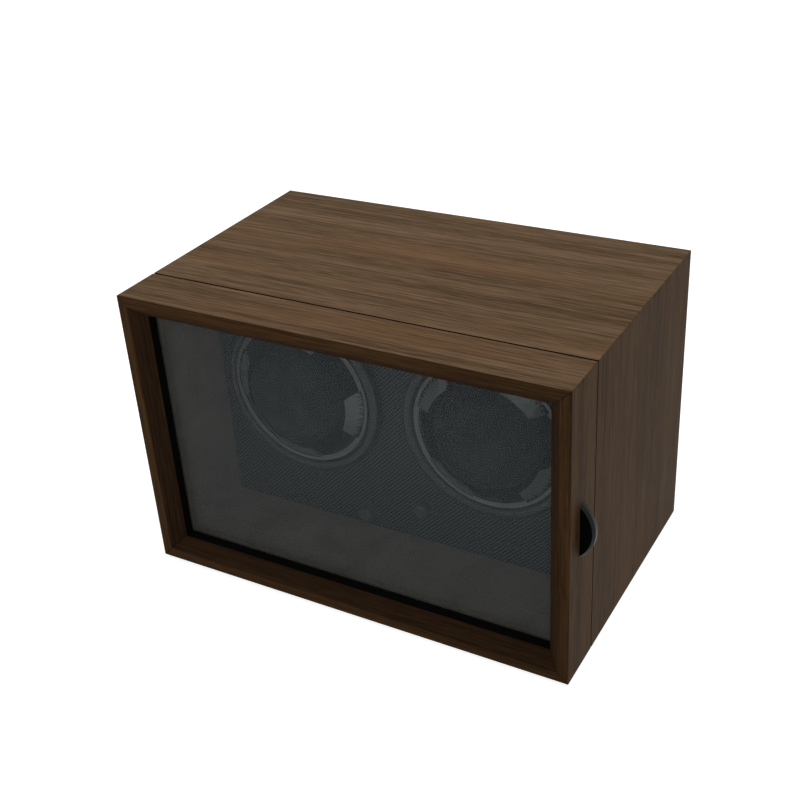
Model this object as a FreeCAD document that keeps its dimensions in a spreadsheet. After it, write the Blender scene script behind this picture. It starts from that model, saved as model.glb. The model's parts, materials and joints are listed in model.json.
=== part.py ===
import FreeCAD, Part
import Sketcher
import math
import os
import re
from FreeCAD import Placement, Rotation, Vector

# Watch winder box for two watches: a wooden case, a glazed door hinged on its left,
# and two belt-driven rotors behind a black baffle.
# Millimetres. +X is the viewer's right, -Y is the front, +Z is up.
# The origin is the middle of the box's plan on the surface that it stands on.

SIZES = {
    # wooden box
    "box_width": 240,
    "box_depth": 155,
    "box_height": 160,
    "board_thick": 12,
    "door_depth": 28.5,
    "seam_gap": 0.8,
    "felt_thick": 1.5,
    "felt_margin": 8,
    "back_thick": 6,
    "back_lap": 6,
    "back_play": 0.2,
    "lining_thick": 1.2,
    # window of the door
    "bevel_width": 6.5,
    "bevel_depth": 6.8,
    "surround_thick": 2,
    "glass_setback": 12.2,
    "glass_thick": 2,
    "glass_play": 0.2,
    "retainer_thick": 3,
    "retainer_setback": 0.4,
    # hinges, pull and magnets
    "hinge_inset": 32,
    "leaf_height": 24,
    "leaf_width": 8.5,
    "leaf_thick": 1,
    "leaf_recess": 0.8,
    "barrel_diameter": 4,
    "barrel_gap": 0.4,
    "knuckle_gap": 0.2,
    "pin_diameter": 2,
    "pin_play": 0.05,
    "pull_radius": 19,
    "pull_reach": 7,
    "pull_tongue": 5,
    "pull_thick": 4.7,
    "pull_setback": 11.4,
    "pull_rise": 1.5,
    "pull_bevel": 1.2,
    "magnet_diameter": 6,
    "magnet_thick": 3,
    "magnet_inset": 5,
    "magnet_spread": 45,
    # baffle and its bezels
    "bay_depth": 28,
    "baffle_thick": 3,
    "rotor_spacing": 109,
    "bezel_headroom": 7.5,
    "bezel_diameter": 95,
    "bezel_bore": 83.6,
    "bezel_height": 5,
    "bezel_round": 2.2,
    "bezel_spigot_wall": 2,
    "bezel_play": 0.1,
    # rotors
    "rotor_proud": 1,
    "cup_diameter": 80,
    "cup_depth": 44,
    "cup_wall": 2,
    "cup_floor": 3,
    "hub_diameter": 16,
    "hub_length": 8,
    "shaft_diameter": 6,
    "shaft_seat": 1.5,
    "shaft_tail": 2,
    "rim_diameter": 82,
    "rim_bore": 75.5,
    "rim_thick": 3,
    "petal_tip_radius": 31,
    "petal_root_radius": 39,
    "petal_rise": 5.5,
    "petal_thick": 1.8,
    "petal_round": 16,
    "petal_offset": 43,
    "left_turn": -8,
    "right_turn": 55,
    # watch pillows
    "pillow_half": 26.8,
    "pillow_corner": 22.5,
    "pillow_draw": 0.3,
    "pillow_depth": 57,
    "pillow_seat_half": 21.5,
    "pillow_crown_half": 14,
    "pillow_dome": 10,
    "pillow_heel": 9,
    "pillow_gap": 0.2,
    # drive
    "thrust_play": 0.2,
    "plate_thick": 4,
    "plate_play": 0.3,
    "bush_flange_diameter": 14,
    "bush_flange": 1.5,
    "bush_diameter": 10,
    "bush_tail": 2,
    "shaft_play": 0.05,
    "pulley_gap": 0.5,
    "pulley_diameter": 36,
    "drive_pulley_diameter": 14,
    "pulley_flange": 1.2,
    "groove_depth": 3,
    "belt_diameter": 3,
    "belt_play": 0.3,
    "motor_diameter": 24,
    "motor_length": 34,
    "motor_rim": 1,
    "motor_gap": 4,
    "motor_room": 4,
    "motor_boss_diameter": 7,
    "motor_boss": 2.5,
    "motor_shaft_diameter": 3,
    "motor_shaft_seat": 10,
    "motor_screw_pitch": 17,
    "cleat_width": 12,
    "cleat_height": 14,
    "cleat_inset": 5,
    # controls
    "button_left_offset": -20,
    "button_left_height": 23.5,
    "button_right_offset": 15,
    "button_right_height": 35.5,
    "button_diameter": 8,
    "button_proud": 5.5,
    "button_edge": 0.7,
    "button_play": 0.2,
    "button_flange_diameter": 10.5,
    "button_flange": 1.2,
    "button_seat_gap": 0.05,
    "button_travel": 1.2,
    "stem_diameter": 3,
    "stem_entry": 1.5,
    "switch_side": 7,
    "switch_height": 4.5,
    "switch_gap": 0.5,
    "switch_floor": 0.8,
    "board_margin": 14,
    "board_rise": 5.5,
    "circuit_thick": 1.6,
    "post_diameter": 6,
    "post_inset": 4.5,
    "post_pin_diameter": 2.4,
    "post_head_diameter": 4,
    "post_head": 1,
    # wiring
    "lead_diameter": 2.2,
    "lead_play": 1,
    "lead_offset": 6,
    "lead_drop": 13,
    "lead_bend": 6,
    # rear fittings
    "jack_offset": 0,
    "jack_height": 36,
    "jack_diameter": 8,
    "jack_inside": 12,
    "jack_flange_diameter": 11,
    "jack_flange": 2,
    "jack_bore": 5.5,
    "jack_bore_depth": 9,
    "jack_pin_diameter": 2,
    "jack_nut_across": 11,
    "jack_nut_thick": 2.5,
    "bumper_diameter": 8,
    "bumper_height": 3.5,
    "bumper_edge": 0.8,
    "bumper_inset": 5,
    "bumper_level": 36,
    # screws
    "screw_diameter": 2.6,
    "screw_head_diameter": 5,
    "screw_head": 1.4,
    "screw_length": 14,
    "hinge_screw_diameter": 1.6,
    "hinge_screw_head_diameter": 3,
    "hinge_screw_head": 0.7,
    "hinge_screw_length": 8,
    "back_screw_inset": 14,
    "overcut": 1,
}

PETALS = 4
PILLOW_STEPS = 3
HEX_SIDES = 6

doc = FreeCAD.newDocument("watch_winder_box")
sheet = doc.addObject("Spreadsheet::Sheet", "Sizes")
for row, (alias, size) in enumerate(SIZES.items(), start=1):
    sheet.set(f"A{row}", alias)
    sheet.set(f"B{row}", str(size))
    sheet.setAlias(f"B{row}", alias)
doc.recompute()

subparts = []
WORD = re.compile(r"[a-z_]+")


def scoped(formula):
    """A formula whose size names point at the sheet's cells."""
    return WORD.sub(lambda word: f"Sizes.{word[0]}" if word[0] in SIZES else word[0], formula)


def number(formula):
    return float(sheet.evalExpression(scoped(formula)))


def bind(piece, **formulas):
    for name, formula in formulas.items():
        piece.setExpression(name, scoped(formula))


def place(piece, x, y, z, turn=Rotation()):
    piece.Placement = Placement(Vector(), turn)
    for axis, formula in zip("xyz", (x, y, z)):
        piece.setExpression(f"Placement.Base.{axis}", scoped(formula))
    return piece


def keep(piece, label):
    """Names a finished sub-part, which is written to a file of that name."""
    piece.Label = label
    subparts.append(piece)
    return piece


def block(name, x, y, z):
    """A rectangular block between two faces along each axis."""
    piece = doc.addObject("Part::Box", name)
    sides = {"Length": x, "Width": y, "Height": z}
    bind(piece, **{side: f"({high}) - ({low})" for side, (low, high) in sides.items()})
    return place(piece, x[0], y[0], z[0])


ALONG_X = Rotation(Vector(0, 1, 0), 90)
ALONG_Y = Rotation(Vector(1, 0, 0), -90)
ALONG_Z = Rotation()


def rod(name, diameter, length, start, turn):
    """A round rod that starts at a point and runs along the turned Z axis."""
    piece = doc.addObject("Part::Cylinder", name)
    bind(piece, Radius=f"({diameter}) / 2", Height=length)
    return place(piece, *start, turn)


def tapered(name, start_diameter, end_diameter, length, start, turn):
    piece = doc.addObject("Part::Cone", name)
    bind(piece, Radius1=f"({start_diameter}) / 2", Radius2=f"({end_diameter}) / 2", Height=length)
    return place(piece, *start, turn)


def joined(name, pieces):
    piece = doc.addObject("Part::MultiFuse", name)
    piece.Shapes = pieces
    return piece


def shared(name, pieces):
    """The space that all the pieces have in common."""
    piece = doc.addObject("Part::MultiCommon", name)
    piece.Shapes = pieces
    return piece


def cut(name, base, tools):
    piece = doc.addObject("Part::Cut", name)
    piece.Base = base
    piece.Tool = tools[0] if len(tools) == 1 else joined(f"{name}_tools", tools)
    return piece


def group(name, pieces):
    """Separate like solids that make one node."""
    piece = doc.addObject("Part::Compound", name)
    piece.Links = pieces
    return piece


def turned(name, outline, x, y, z):
    """A body turned about a line along Y; the outline gives radius and distance behind y."""
    body = doc.addObject("PartDesign::Body", name)
    sketch = body.newObject("Sketcher::SketchObject", f"{name}_outline")
    plane = next(item for item in body.Origin.OriginFeatures if item.Role == "XY_Plane")
    sketch.AttachmentSupport = [(plane, "")]
    sketch.MapMode = "FlatFace"
    points = [Vector(number(radius), number(along), 0) for radius, along in outline]
    count = len(points)
    for index, point in enumerate(points):
        sketch.addGeometry(Part.LineSegment(point, points[(index + 1) % count]))
    for index in range(count):
        sketch.addConstraint(Sketcher.Constraint("Coincident", index, 2, (index + 1) % count, 1))
    for index, (radius, along) in enumerate(outline):
        hold(sketch, index, "DistanceX", -2, radius, f"radius_{index}")
        hold(sketch, index, "DistanceY", -1, along, f"along_{index}")
    feature = body.newObject("PartDesign::Revolution", f"{name}_turning")
    feature.Profile = sketch
    feature.ReferenceAxis = (sketch, ["V_Axis"])
    feature.Angle = 360
    body.Tip = feature
    return place(body, x, y, z)


def hold(sketch, index, kind, axis, formula, name):
    """Ties one corner of an outline to a size, or to the axis where the size is nought."""
    if formula == "0":
        sketch.addConstraint(Sketcher.Constraint("PointOnObject", index, 1, axis))
        return
    place_in_list = sketch.addConstraint(
        Sketcher.Constraint(kind, -1, 1, index, 1, number(formula)))
    sketch.renameConstraint(place_in_list, name)
    sketch.setExpression(f"Constraints.{name}", scoped(formula))


def rounded(body, radius, wanted):
    """Fillets the edges of a body that the test picks out."""
    doc.recompute()
    base = body.Tip
    names = [f"Edge{place + 1}" for place, edge in enumerate(base.Shape.Edges) if wanted(edge)]
    fillet = body.newObject("PartDesign::Fillet", f"{body.Name}_round")
    fillet.Base = (base, names)
    bind(fillet, Radius=radius)
    body.Tip = fillet


# Planes that several pieces share
front = "(-box_depth / 2)"
rear = "(box_depth / 2)"
door_rear = f"({front} + door_depth)"
case_front = f"({door_rear} + seam_gap)"
side = "(box_width / 2)"
inner_side = "(box_width / 2 - board_thick)"
inner_bottom = "(felt_thick + board_thick)"
inner_top = "(box_height - board_thick)"
middle_z = "((felt_thick + box_height) / 2)"
baffle_front = f"({case_front} + bay_depth)"
baffle_rear = f"({baffle_front} + baffle_thick)"
cup_front = f"({baffle_front} - rotor_proud)"
cup_rear = f"({cup_front} + cup_depth)"
plate_front = f"({cup_rear} + hub_length + thrust_play + bush_flange)"
plate_rear = f"({plate_front} + plate_thick)"
pulley_front = f"({plate_rear} + bush_tail + pulley_gap)"
groove_width = "(belt_diameter + 2 * belt_play)"
pulley_width = f"(2 * pulley_flange + {groove_width})"
rotor_z = f"({inner_top} - lining_thick - bezel_headroom - bezel_diameter / 2)"
rotor_x = {"left": "(-rotor_spacing / 2)", "right": "(rotor_spacing / 2)"}
motor_x = {"left": "(-(motor_diameter + motor_gap) / 2)", "right": "((motor_diameter + motor_gap) / 2)"}
motor_z = f"({inner_top} - motor_room - motor_diameter / 2)"
HANDS = ("left", "right")


def both(half):
    """A span that reaches equally far to both sides of the middle."""
    return (f"-({half})", half)


# How a mitred board lies: its length, its thickness from the outside in, and its depth
AXIS_X = Vector(1, 0, 0)
AXIS_Y = Vector(0, 1, 0)
AXIS_Z = Vector(0, 0, 1)
FRAME_SIDES = {
    "top": (Rotation(AXIS_X, -AXIS_Z, AXIS_Y), "box_width", ("0", "box_height")),
    "bottom": (Rotation(-AXIS_X, AXIS_Z, AXIS_Y), "box_width", ("0", "felt_thick")),
    "left": (Rotation(AXIS_Z, AXIS_X, AXIS_Y), "box_height - felt_thick", (f"-{side}", middle_z)),
    "right": (Rotation(-AXIS_Z, -AXIS_X, AXIS_Y), "box_height - felt_thick", (side, middle_z)),
}


def mitred_board(name, which, start, depth):
    """One of four boards round the box, with both ends cut to a mitre."""
    turn, length, (x, z) = FRAME_SIDES[which]
    piece = doc.addObject("Part::Wedge", name)
    bind(piece, Xmin=f"-({length}) / 2", Xmax=f"({length}) / 2", Ymin="0", Ymax="board_thick",
         X2min=f"board_thick - ({length}) / 2", X2max=f"({length}) / 2 - board_thick",
         Zmin="0", Zmax=depth, Z2min="0", Z2max=depth)
    return place(piece, x, start, z, turn)


def flush_screw(name, point, turn, sizes):
    """A countersunk screw whose head is level with the surface at the point."""
    head = tapered(f"{name}_head", sizes["head_diameter"], sizes["diameter"], sizes["head"], point, turn)
    shank = rod(f"{name}_shank", sizes["diameter"], sizes["length"], point, turn)
    return joined(name, [head, shank])


WOOD_SCREW = {"diameter": "screw_diameter", "head_diameter": "screw_head_diameter",
              "head": "screw_head", "length": "screw_length"}
HINGE_SCREW = {"diameter": "hinge_screw_diameter", "head_diameter": "hinge_screw_head_diameter",
               "head": "hinge_screw_head", "length": "hinge_screw_length"}
TOWARDS_FRONT = Rotation(Vector(1, 0, 0), 90)

# Hinges: two butt hinges whose barrels stand just outside the left side
hinge_x = f"(-{side} - barrel_gap - barrel_diameter / 2)"
hinge_y = f"({door_rear} + seam_gap / 2)"
hinge_levels = {"upper": "(box_height - hinge_inset)", "lower": "(felt_thick + hinge_inset)"}
knuckle = "((leaf_height - 2 * knuckle_gap) / 3)"
leaf_x = (f"-{side}", f"leaf_width - {side}")
leaf_y = {"case": (f"{case_front} - leaf_thick + leaf_recess", f"{case_front} + leaf_recess"),
          "door": (f"{door_rear} - leaf_recess", f"{door_rear} - leaf_recess + leaf_thick")}
leaf_screw_y = {"case": leaf_y["case"][0], "door": leaf_y["door"][1]}
leaf_screw_turn = {"case": ALONG_Y, "door": TOWARDS_FRONT}
knuckle_starts = {
    "case": ["(-leaf_height / 2)", f"(leaf_height / 2 - {knuckle})"],
    "door": [f"(-{knuckle} / 2)"],
}
hinge_leaves = {"case": [], "door": []}
hinge_screws = {"case": [], "door": []}
leaf_recesses = {"case": [], "door": []}
hinge_pins = []
for level, height in hinge_levels.items():
    for owner in ("case", "door"):
        name = f"{level}_{owner}_leaf"
        span = (f"{height} - leaf_height / 2", f"{height} + leaf_height / 2")
        plates = [block(f"{name}_plate", leaf_x, leaf_y[owner], span)]
        for index, start in enumerate(knuckle_starts[owner]):
            bottom = f"({height} + {start})"
            tongue_x = (hinge_x, f"-{side} + leaf_thick")
            tongue_z = (bottom, f"{bottom} + {knuckle}")
            plates.append(block(f"{name}_tongue_{index}", tongue_x, leaf_y[owner], tongue_z))
            centre = (hinge_x, hinge_y, bottom)
            plates.append(rod(f"{name}_knuckle_{index}", "barrel_diameter", knuckle, centre, ALONG_Z))
        bore_start = (hinge_x, hinge_y, f"{height} - leaf_height / 2 - overcut")
        bore_diameter = "pin_diameter + 2 * pin_play"
        bore = rod(f"{name}_bore", bore_diameter, "leaf_height + 2 * overcut", bore_start, ALONG_Z)
        screws = []
        for index, offset in enumerate(("-leaf_height / 3", "leaf_height / 3")):
            point = (f"-{side} + leaf_width / 2", leaf_screw_y[owner], f"{height} + {offset}")
            screws.append(flush_screw(f"{name}_screw_{index}", point, leaf_screw_turn[owner], HINGE_SCREW))
        hinge_leaves[owner].append(cut(name, joined(f"{name}_blank", plates), [bore] + screws))
        hinge_screws[owner] += screws
        leaf_recesses[owner].append(plates[0])
    pin_start = (hinge_x, hinge_y, f"{height} - leaf_height / 2")
    hinge_pins.append(rod(f"{level}_pin", "pin_diameter", "leaf_height", pin_start, ALONG_Z))

# Magnets that hold the door shut, let into the facing edges on the right
magnet_x = f"({side} - magnet_inset)"
magnet_levels = {"upper": f"{middle_z} + magnet_spread", "lower": f"{middle_z} - magnet_spread"}
magnet_y = {"case": case_front, "door": f"{door_rear} - magnet_thick"}
magnets = {
    owner: [rod(f"{level}_{owner}_magnet", "magnet_diameter", "magnet_thick",
                (magnet_x, start, height), ALONG_Y) for level, height in magnet_levels.items()]
    for owner, start in magnet_y.items()
}

# Case boards, lapped at the rear for the back panel
lap_half = f"({inner_side} + back_lap)"
lap_z = (f"{inner_bottom} - back_lap", f"{inner_top} + back_lap")
back_lap_space = block("back_lap_space", both(lap_half), (f"{rear} - back_thick", f"{rear} + overcut"), lap_z)
back_screw_x = f"({lap_half} - back_lap / 2)"
back_screw_places = [
    (f"{sign}{back_screw_x}", height)
    for sign in ("-", "")
    for height in (f"{inner_bottom} + back_screw_inset", f"{inner_top} - back_screw_inset")
] + [("0", f"{inner_bottom} - back_lap / 2"), ("0", f"{inner_top} + back_lap / 2")]
back_screws = [
    flush_screw(f"back_screw_{index}", (x, rear, z), TOWARDS_FRONT, WOOD_SCREW)
    for index, (x, z) in enumerate(back_screw_places)
]
board_cuts = {"top": [], "bottom": [], "left": leaf_recesses["case"] + hinge_screws["case"],
              "right": magnets["case"]}
for which, extra in board_cuts.items():
    board = mitred_board(f"{which}_board", which, case_front, f"{rear} - {case_front}")
    keep(cut(f"{which}_board_cut", board, [back_lap_space] + back_screws + extra), f"case_{which}")

panel_half = f"({lap_half} - back_play)"
panel_z = (f"{lap_z[0]} + back_play", f"{lap_z[1]} - back_play")
back_blank = block("back_blank", both(panel_half), (f"{rear} - back_thick", rear), panel_z)
jack_hole_start = ("jack_offset", f"{rear} - back_thick - overcut", "jack_height")
jack_hole = rod("jack_hole", "jack_diameter", "back_thick + 2 * overcut", jack_hole_start, ALONG_Y)
keep(cut("back_board", back_blank, back_screws + [jack_hole]), "back_panel")
keep(group("back_screw_set", back_screws), "back_screws")
felt_y = (f"{case_front} + felt_margin", f"{rear} - felt_margin")
keep(block("felt_sheet", both(f"{side} - felt_margin"), felt_y, ("0", "felt_thick")), "base_felt")

# Grey lining of the display bay
bay_y = (case_front, baffle_front)
lined_z = (f"{inner_bottom} + lining_thick", f"{inner_top} - lining_thick")
keep(block("floor_card", both(inner_side), bay_y, (inner_bottom, lined_z[0])), "lining_floor")
keep(block("ceiling_card", both(inner_side), bay_y, (lined_z[1], inner_top)), "lining_ceiling")
side_cards = [
    block("left_card", (f"-{inner_side}", f"lining_thick - {inner_side}"), bay_y, lined_z),
    block("right_card", (f"{inner_side} - lining_thick", inner_side), bay_y, lined_z),
]
keep(group("side_card_pair", side_cards), "side_linings")

# Baffle with a round opening for each rotor and a hole for each button
buttons = {
    "left": ("button_left_offset", "button_left_height"),
    "right": ("button_right_offset", "button_right_height"),
}
opening_diameter = "(bezel_bore + 2 * bezel_spigot_wall + 2 * bezel_play)"
through_start = f"{baffle_front} - overcut"
through_length = "baffle_thick + 2 * overcut"
baffle_cuts = [
    rod(f"{hand}_opening", opening_diameter, through_length,
        (rotor_x[hand], through_start, rotor_z), ALONG_Y)
    for hand in HANDS
] + [
    rod(f"{hand}_button_hole", "button_diameter + 2 * button_play", through_length,
        (x, through_start, z), ALONG_Y)
    for hand, (x, z) in buttons.items()
]
baffle_blank = block("baffle_blank", both(inner_side), (baffle_front, baffle_rear), (inner_bottom, inner_top))
keep(cut("baffle_board", baffle_blank, baffle_cuts), "baffle_panel")

bezel_outline = [
    ("bezel_bore / 2", "0"),
    ("bezel_diameter / 2", "0"),
    ("bezel_diameter / 2", "bezel_height"),
    ("bezel_bore / 2 + bezel_spigot_wall", "bezel_height"),
    ("bezel_bore / 2 + bezel_spigot_wall", "bezel_height + baffle_thick"),
    ("bezel_bore / 2", "bezel_height + baffle_thick"),
]
for hand in HANDS:
    bezel_front = f"{baffle_front} - bezel_height"
    bezel = turned(f"{hand}_bezel_ring", bezel_outline, rotor_x[hand], bezel_front, rotor_z)
    rounded(bezel, "bezel_round", lambda edge: len(edge.Vertexes) == 1 and abs(edge.CenterOfMass.y) < 1e-6)
    keep(bezel, f"{hand}_bezel")

# Rotors: a cup on a shaft, a clear rim with four petals, and a pulley behind the drive plate
cup_outline = [
    ("cup_diameter / 2", "0"),
    ("cup_diameter / 2", "cup_depth"),
    ("hub_diameter / 2", "cup_depth"),
    ("hub_diameter / 2", "cup_depth + hub_length"),
    ("shaft_diameter / 2", "cup_depth + hub_length"),
    ("shaft_diameter / 2", "cup_depth - shaft_seat"),
    ("0", "cup_depth - shaft_seat"),
    ("0", "cup_depth - cup_floor"),
    ("cup_diameter / 2 - cup_wall", "cup_depth - cup_floor"),
    ("cup_diameter / 2 - cup_wall", "0"),
]
rim_outline = [
    ("rim_bore / 2", "petal_rise"),
    ("rim_diameter / 2", "petal_rise"),
    ("rim_diameter / 2", "petal_rise + rim_thick"),
    ("rim_bore / 2", "petal_rise + rim_thick"),
]
petal_outline = [
    ("petal_tip_radius", "0"),
    ("petal_root_radius", "petal_rise"),
    ("petal_root_radius", "petal_rise + petal_thick"),
    ("petal_tip_radius", "petal_thick"),
]
petal_reach = "petal_rise + petal_thick + 2 * overcut"
rim_front = f"({cup_front} - rim_thick - petal_rise)"


def pulley_outline(diameter, bore):
    edge = f"({diameter}) / 2"
    groove = f"({diameter}) / 2 - groove_depth"
    return [
        (f"({bore}) / 2", "0"),
        (edge, "0"),
        (edge, "pulley_flange"),
        (groove, "pulley_flange"),
        (groove, f"pulley_flange + {groove_width}"),
        (edge, f"pulley_flange + {groove_width}"),
        (edge, pulley_width),
        (f"({bore}) / 2", pulley_width),
    ]


def clear_rim(hand):
    """A clear ring with four petals that lean in over the cup."""
    ring = turned(f"{hand}_ring", rim_outline, "0", "0", "0")
    cone = turned(f"{hand}_cone", petal_outline, "0", "0", "0")
    discs = []
    for index in range(PETALS):
        angle = f"{index} * 360 deg / {PETALS}"
        centre = (f"petal_offset * cos({angle})", "-overcut", f"petal_offset * sin({angle})")
        discs.append(rod(f"{hand}_petal_{index}", "2 * petal_round", petal_reach, centre, ALONG_Y))
    petals = shared(f"{hand}_petals", [cone, joined(f"{hand}_petal_discs", discs)])
    rim = joined(f"{hand}_clear_rim", [ring, petals])
    return place(rim, rotor_x[hand], rim_front, rotor_z, Rotation(AXIS_Y, -number(f"{hand}_turn")))


def pillow_section(half, along):
    """A square with round corners and drawn-in sides, at a distance behind the crown."""
    corner = number("pillow_corner") * half / number("pillow_half")
    draw = number("pillow_draw") * half / number("pillow_half")
    inset = half - corner
    bulge = inset + corner * math.sqrt(0.5)
    edges = []
    for quarter in range(4):
        spin = Rotation(AXIS_Y, -90 * quarter)
        marks = [(half, -inset), (half - draw, 0), (half, inset), (bulge, bulge), (inset, half)]
        low, waist, high, peak, end = [spin.multVec(Vector(x, along, z)) for x, z in marks]
        edges.append(Part.Arc(low, waist, high).toShape())
        edges.append(Part.Arc(high, peak, end).toShape())
    return Part.Wire(edges)


def pillow_shape():
    """A cushion with a crown in front, full sides, and a flat seat at the back; corners face the petals."""
    depth = number("pillow_depth")
    full = number("pillow_half")
    seat = number("pillow_seat_half")
    crown = number("pillow_crown_half")
    sections = []
    for step in range(PILLOW_STEPS + 1):
        lean = math.radians(90 * step / PILLOW_STEPS)
        half = crown + (full - crown) * math.sin(lean)
        sections.append(pillow_section(half, number("pillow_dome") * (1 - math.cos(lean))))
    sections.append(pillow_section(full, depth / 2))
    for step in range(PILLOW_STEPS, -1, -1):
        lean = math.radians(90 * step / PILLOW_STEPS)
        half = seat + (full - seat) * math.sin(lean)
        sections.append(pillow_section(half, depth - number("pillow_heel") * (1 - math.cos(lean))))
    return Part.makeLoft(sections, True, False)


for hand in HANDS:
    keep(turned(f"{hand}_cup", cup_outline, rotor_x[hand], cup_front, rotor_z), f"{hand}_rotor_cup")
    keep(clear_rim(hand), f"{hand}_clip_ring")
    shaft_start = (rotor_x[hand], f"{cup_rear} - shaft_seat", rotor_z)
    shaft_length = f"{pulley_front} + {pulley_width} + shaft_tail - ({cup_rear} - shaft_seat)"
    keep(rod(f"{hand}_axle", "shaft_diameter", shaft_length, shaft_start, ALONG_Y), f"{hand}_rotor_shaft")
    outline = pulley_outline("pulley_diameter", "shaft_diameter")
    keep(turned(f"{hand}_wheel", outline, rotor_x[hand], pulley_front, rotor_z), f"{hand}_rotor_pulley")
    pillow = doc.addObject("Part::Feature", f"{hand}_cushion")
    pillow.Shape = pillow_shape()
    pillow_y = number(f"{cup_rear} - cup_floor - pillow_gap - pillow_depth")
    pillow_turn = Rotation(AXIS_Y, 180 / PETALS - number(f"{hand}_turn"))
    pillow.Placement = Placement(Vector(number(rotor_x[hand]), pillow_y, number(rotor_z)), pillow_turn)
    keep(pillow, f"{hand}_watch_pillow")

# Drive plate on four corner cleats, with the bushes and the two gear motors
cleat_x = {"left": (f"-{inner_side}", f"cleat_width - {inner_side}"),
           "right": (f"{inner_side} - cleat_width", inner_side)}
cleat_z = {"lower": (f"{inner_bottom} + cleat_inset", f"{inner_bottom} + cleat_inset + cleat_height"),
           "upper": (f"{inner_top} - cleat_inset - cleat_height", f"{inner_top} - cleat_inset")}
cleats = []
plate_screws = []
for hand, x in cleat_x.items():
    for level, z in cleat_z.items():
        name = f"{level}_{hand}_cleat"
        point = (f"(({x[0]}) + ({x[1]})) / 2", plate_rear, f"(({z[0]}) + ({z[1]})) / 2")
        screw = flush_screw(f"{name}_screw", point, TOWARDS_FRONT, WOOD_SCREW)
        batten = block(f"{name}_batten", x, (baffle_rear, plate_front), z)
        cleats.append(cut(name, batten, [screw]))
        plate_screws.append(screw)
keep(group("cleat_set", cleats), "corner_cleats")
keep(group("plate_screw_set", plate_screws), "drive_plate_screws")

motor_screws = []
for hand in HANDS:
    for index, offset in enumerate(("-motor_screw_pitch / 2", "motor_screw_pitch / 2")):
        point = (f"{motor_x[hand]} + {offset}", plate_rear, motor_z)
        motor_screws.append(flush_screw(f"{hand}_motor_screw_{index}", point, TOWARDS_FRONT, HINGE_SCREW))
keep(group("motor_screw_set", motor_screws), "motor_screws")

hole_start = f"{plate_front} - overcut"
hole_length = "plate_thick + 2 * overcut"
plate_holes = [
    rod(f"{hand}_bush_hole", "bush_diameter", hole_length, (rotor_x[hand], hole_start, rotor_z), ALONG_Y)
    for hand in HANDS
] + [
    rod(f"{hand}_boss_hole", "motor_boss_diameter", hole_length,
        (motor_x[hand], hole_start, motor_z), ALONG_Y)
    for hand in HANDS
]
lead_hole_start = ("jack_offset", hole_start, "jack_height")
lead_hole = rod("lead_hole", "lead_diameter + 2 * lead_play", hole_length, lead_hole_start, ALONG_Y)
plate_z = (f"{inner_bottom} + plate_play", f"{inner_top} - plate_play")
plate_blank = block("plate_blank", both(f"{inner_side} - plate_play"), (plate_front, plate_rear), plate_z)
plate_cuts = plate_holes + [lead_hole] + plate_screws + motor_screws
keep(cut("plate", plate_blank, plate_cuts), "drive_plate")

bush_bore = "shaft_diameter / 2 + shaft_play"
bush_outline = [
    (bush_bore, "0"),
    ("bush_flange_diameter / 2", "0"),
    ("bush_flange_diameter / 2", "bush_flange"),
    ("bush_diameter / 2", "bush_flange"),
    ("bush_diameter / 2", "bush_flange + plate_thick + bush_tail"),
    (bush_bore, "bush_flange + plate_thick + bush_tail"),
]
bushes = [
    turned(f"{hand}_bush", bush_outline, rotor_x[hand], f"{plate_front} - bush_flange", rotor_z)
    for hand in HANDS
]
keep(group("bush_pair", bushes), "rotor_bushes")

motor_bore = "motor_shaft_diameter / 2 + shaft_play"
boss_end = "motor_length + motor_boss"
motor_outline = [
    ("0", "0"),
    ("motor_diameter / 2 - motor_rim", "0"),
    ("motor_diameter / 2", "motor_rim"),
    ("motor_diameter / 2", "motor_length"),
    ("motor_boss_diameter / 2", "motor_length"),
    ("motor_boss_diameter / 2", boss_end),
    (motor_bore, boss_end),
    (motor_bore, f"{boss_end} - motor_shaft_seat"),
    ("0", f"{boss_end} - motor_shaft_seat"),
]


def belt_shape(hand):
    """A round belt in the grooves of the two pulleys of one rotor."""
    wheel = Vector(number(rotor_x[hand]), 0, number(rotor_z))
    drive = Vector(number(motor_x[hand]), 0, number(motor_z))
    rise = number("belt_diameter / 2 + belt_play - groove_depth")
    wheel_radius = number("pulley_diameter / 2") + rise
    drive_radius = number("drive_pulley_diameter / 2") + rise
    span = drive - wheel
    along = Vector(span).normalize()
    lean = math.degrees(math.acos((wheel_radius - drive_radius) / span.Length))
    turns = {sign: Rotation(AXIS_Y, sign * lean).multVec(along) for sign in (-1, 1)}
    wheel_ends = {sign: wheel + out * wheel_radius for sign, out in turns.items()}
    drive_ends = {sign: drive + out * drive_radius for sign, out in turns.items()}
    middle = (wheel_ends[-1] + drive_ends[-1]) / 2
    loop = Part.Wire([
        Part.LineSegment(middle, drive_ends[-1]).toShape(),
        Part.Arc(drive_ends[-1], drive + along * drive_radius, drive_ends[1]).toShape(),
        Part.LineSegment(drive_ends[1], wheel_ends[1]).toShape(),
        Part.Arc(wheel_ends[1], wheel - along * wheel_radius, wheel_ends[-1]).toShape(),
        Part.LineSegment(wheel_ends[-1], middle).toShape(),
    ])
    direction = drive_ends[-1] - middle
    section = Part.Wire([Part.Circle(middle, direction, number("belt_diameter / 2")).toShape()])
    return loop.makePipeShell([section], True, False)


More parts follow.
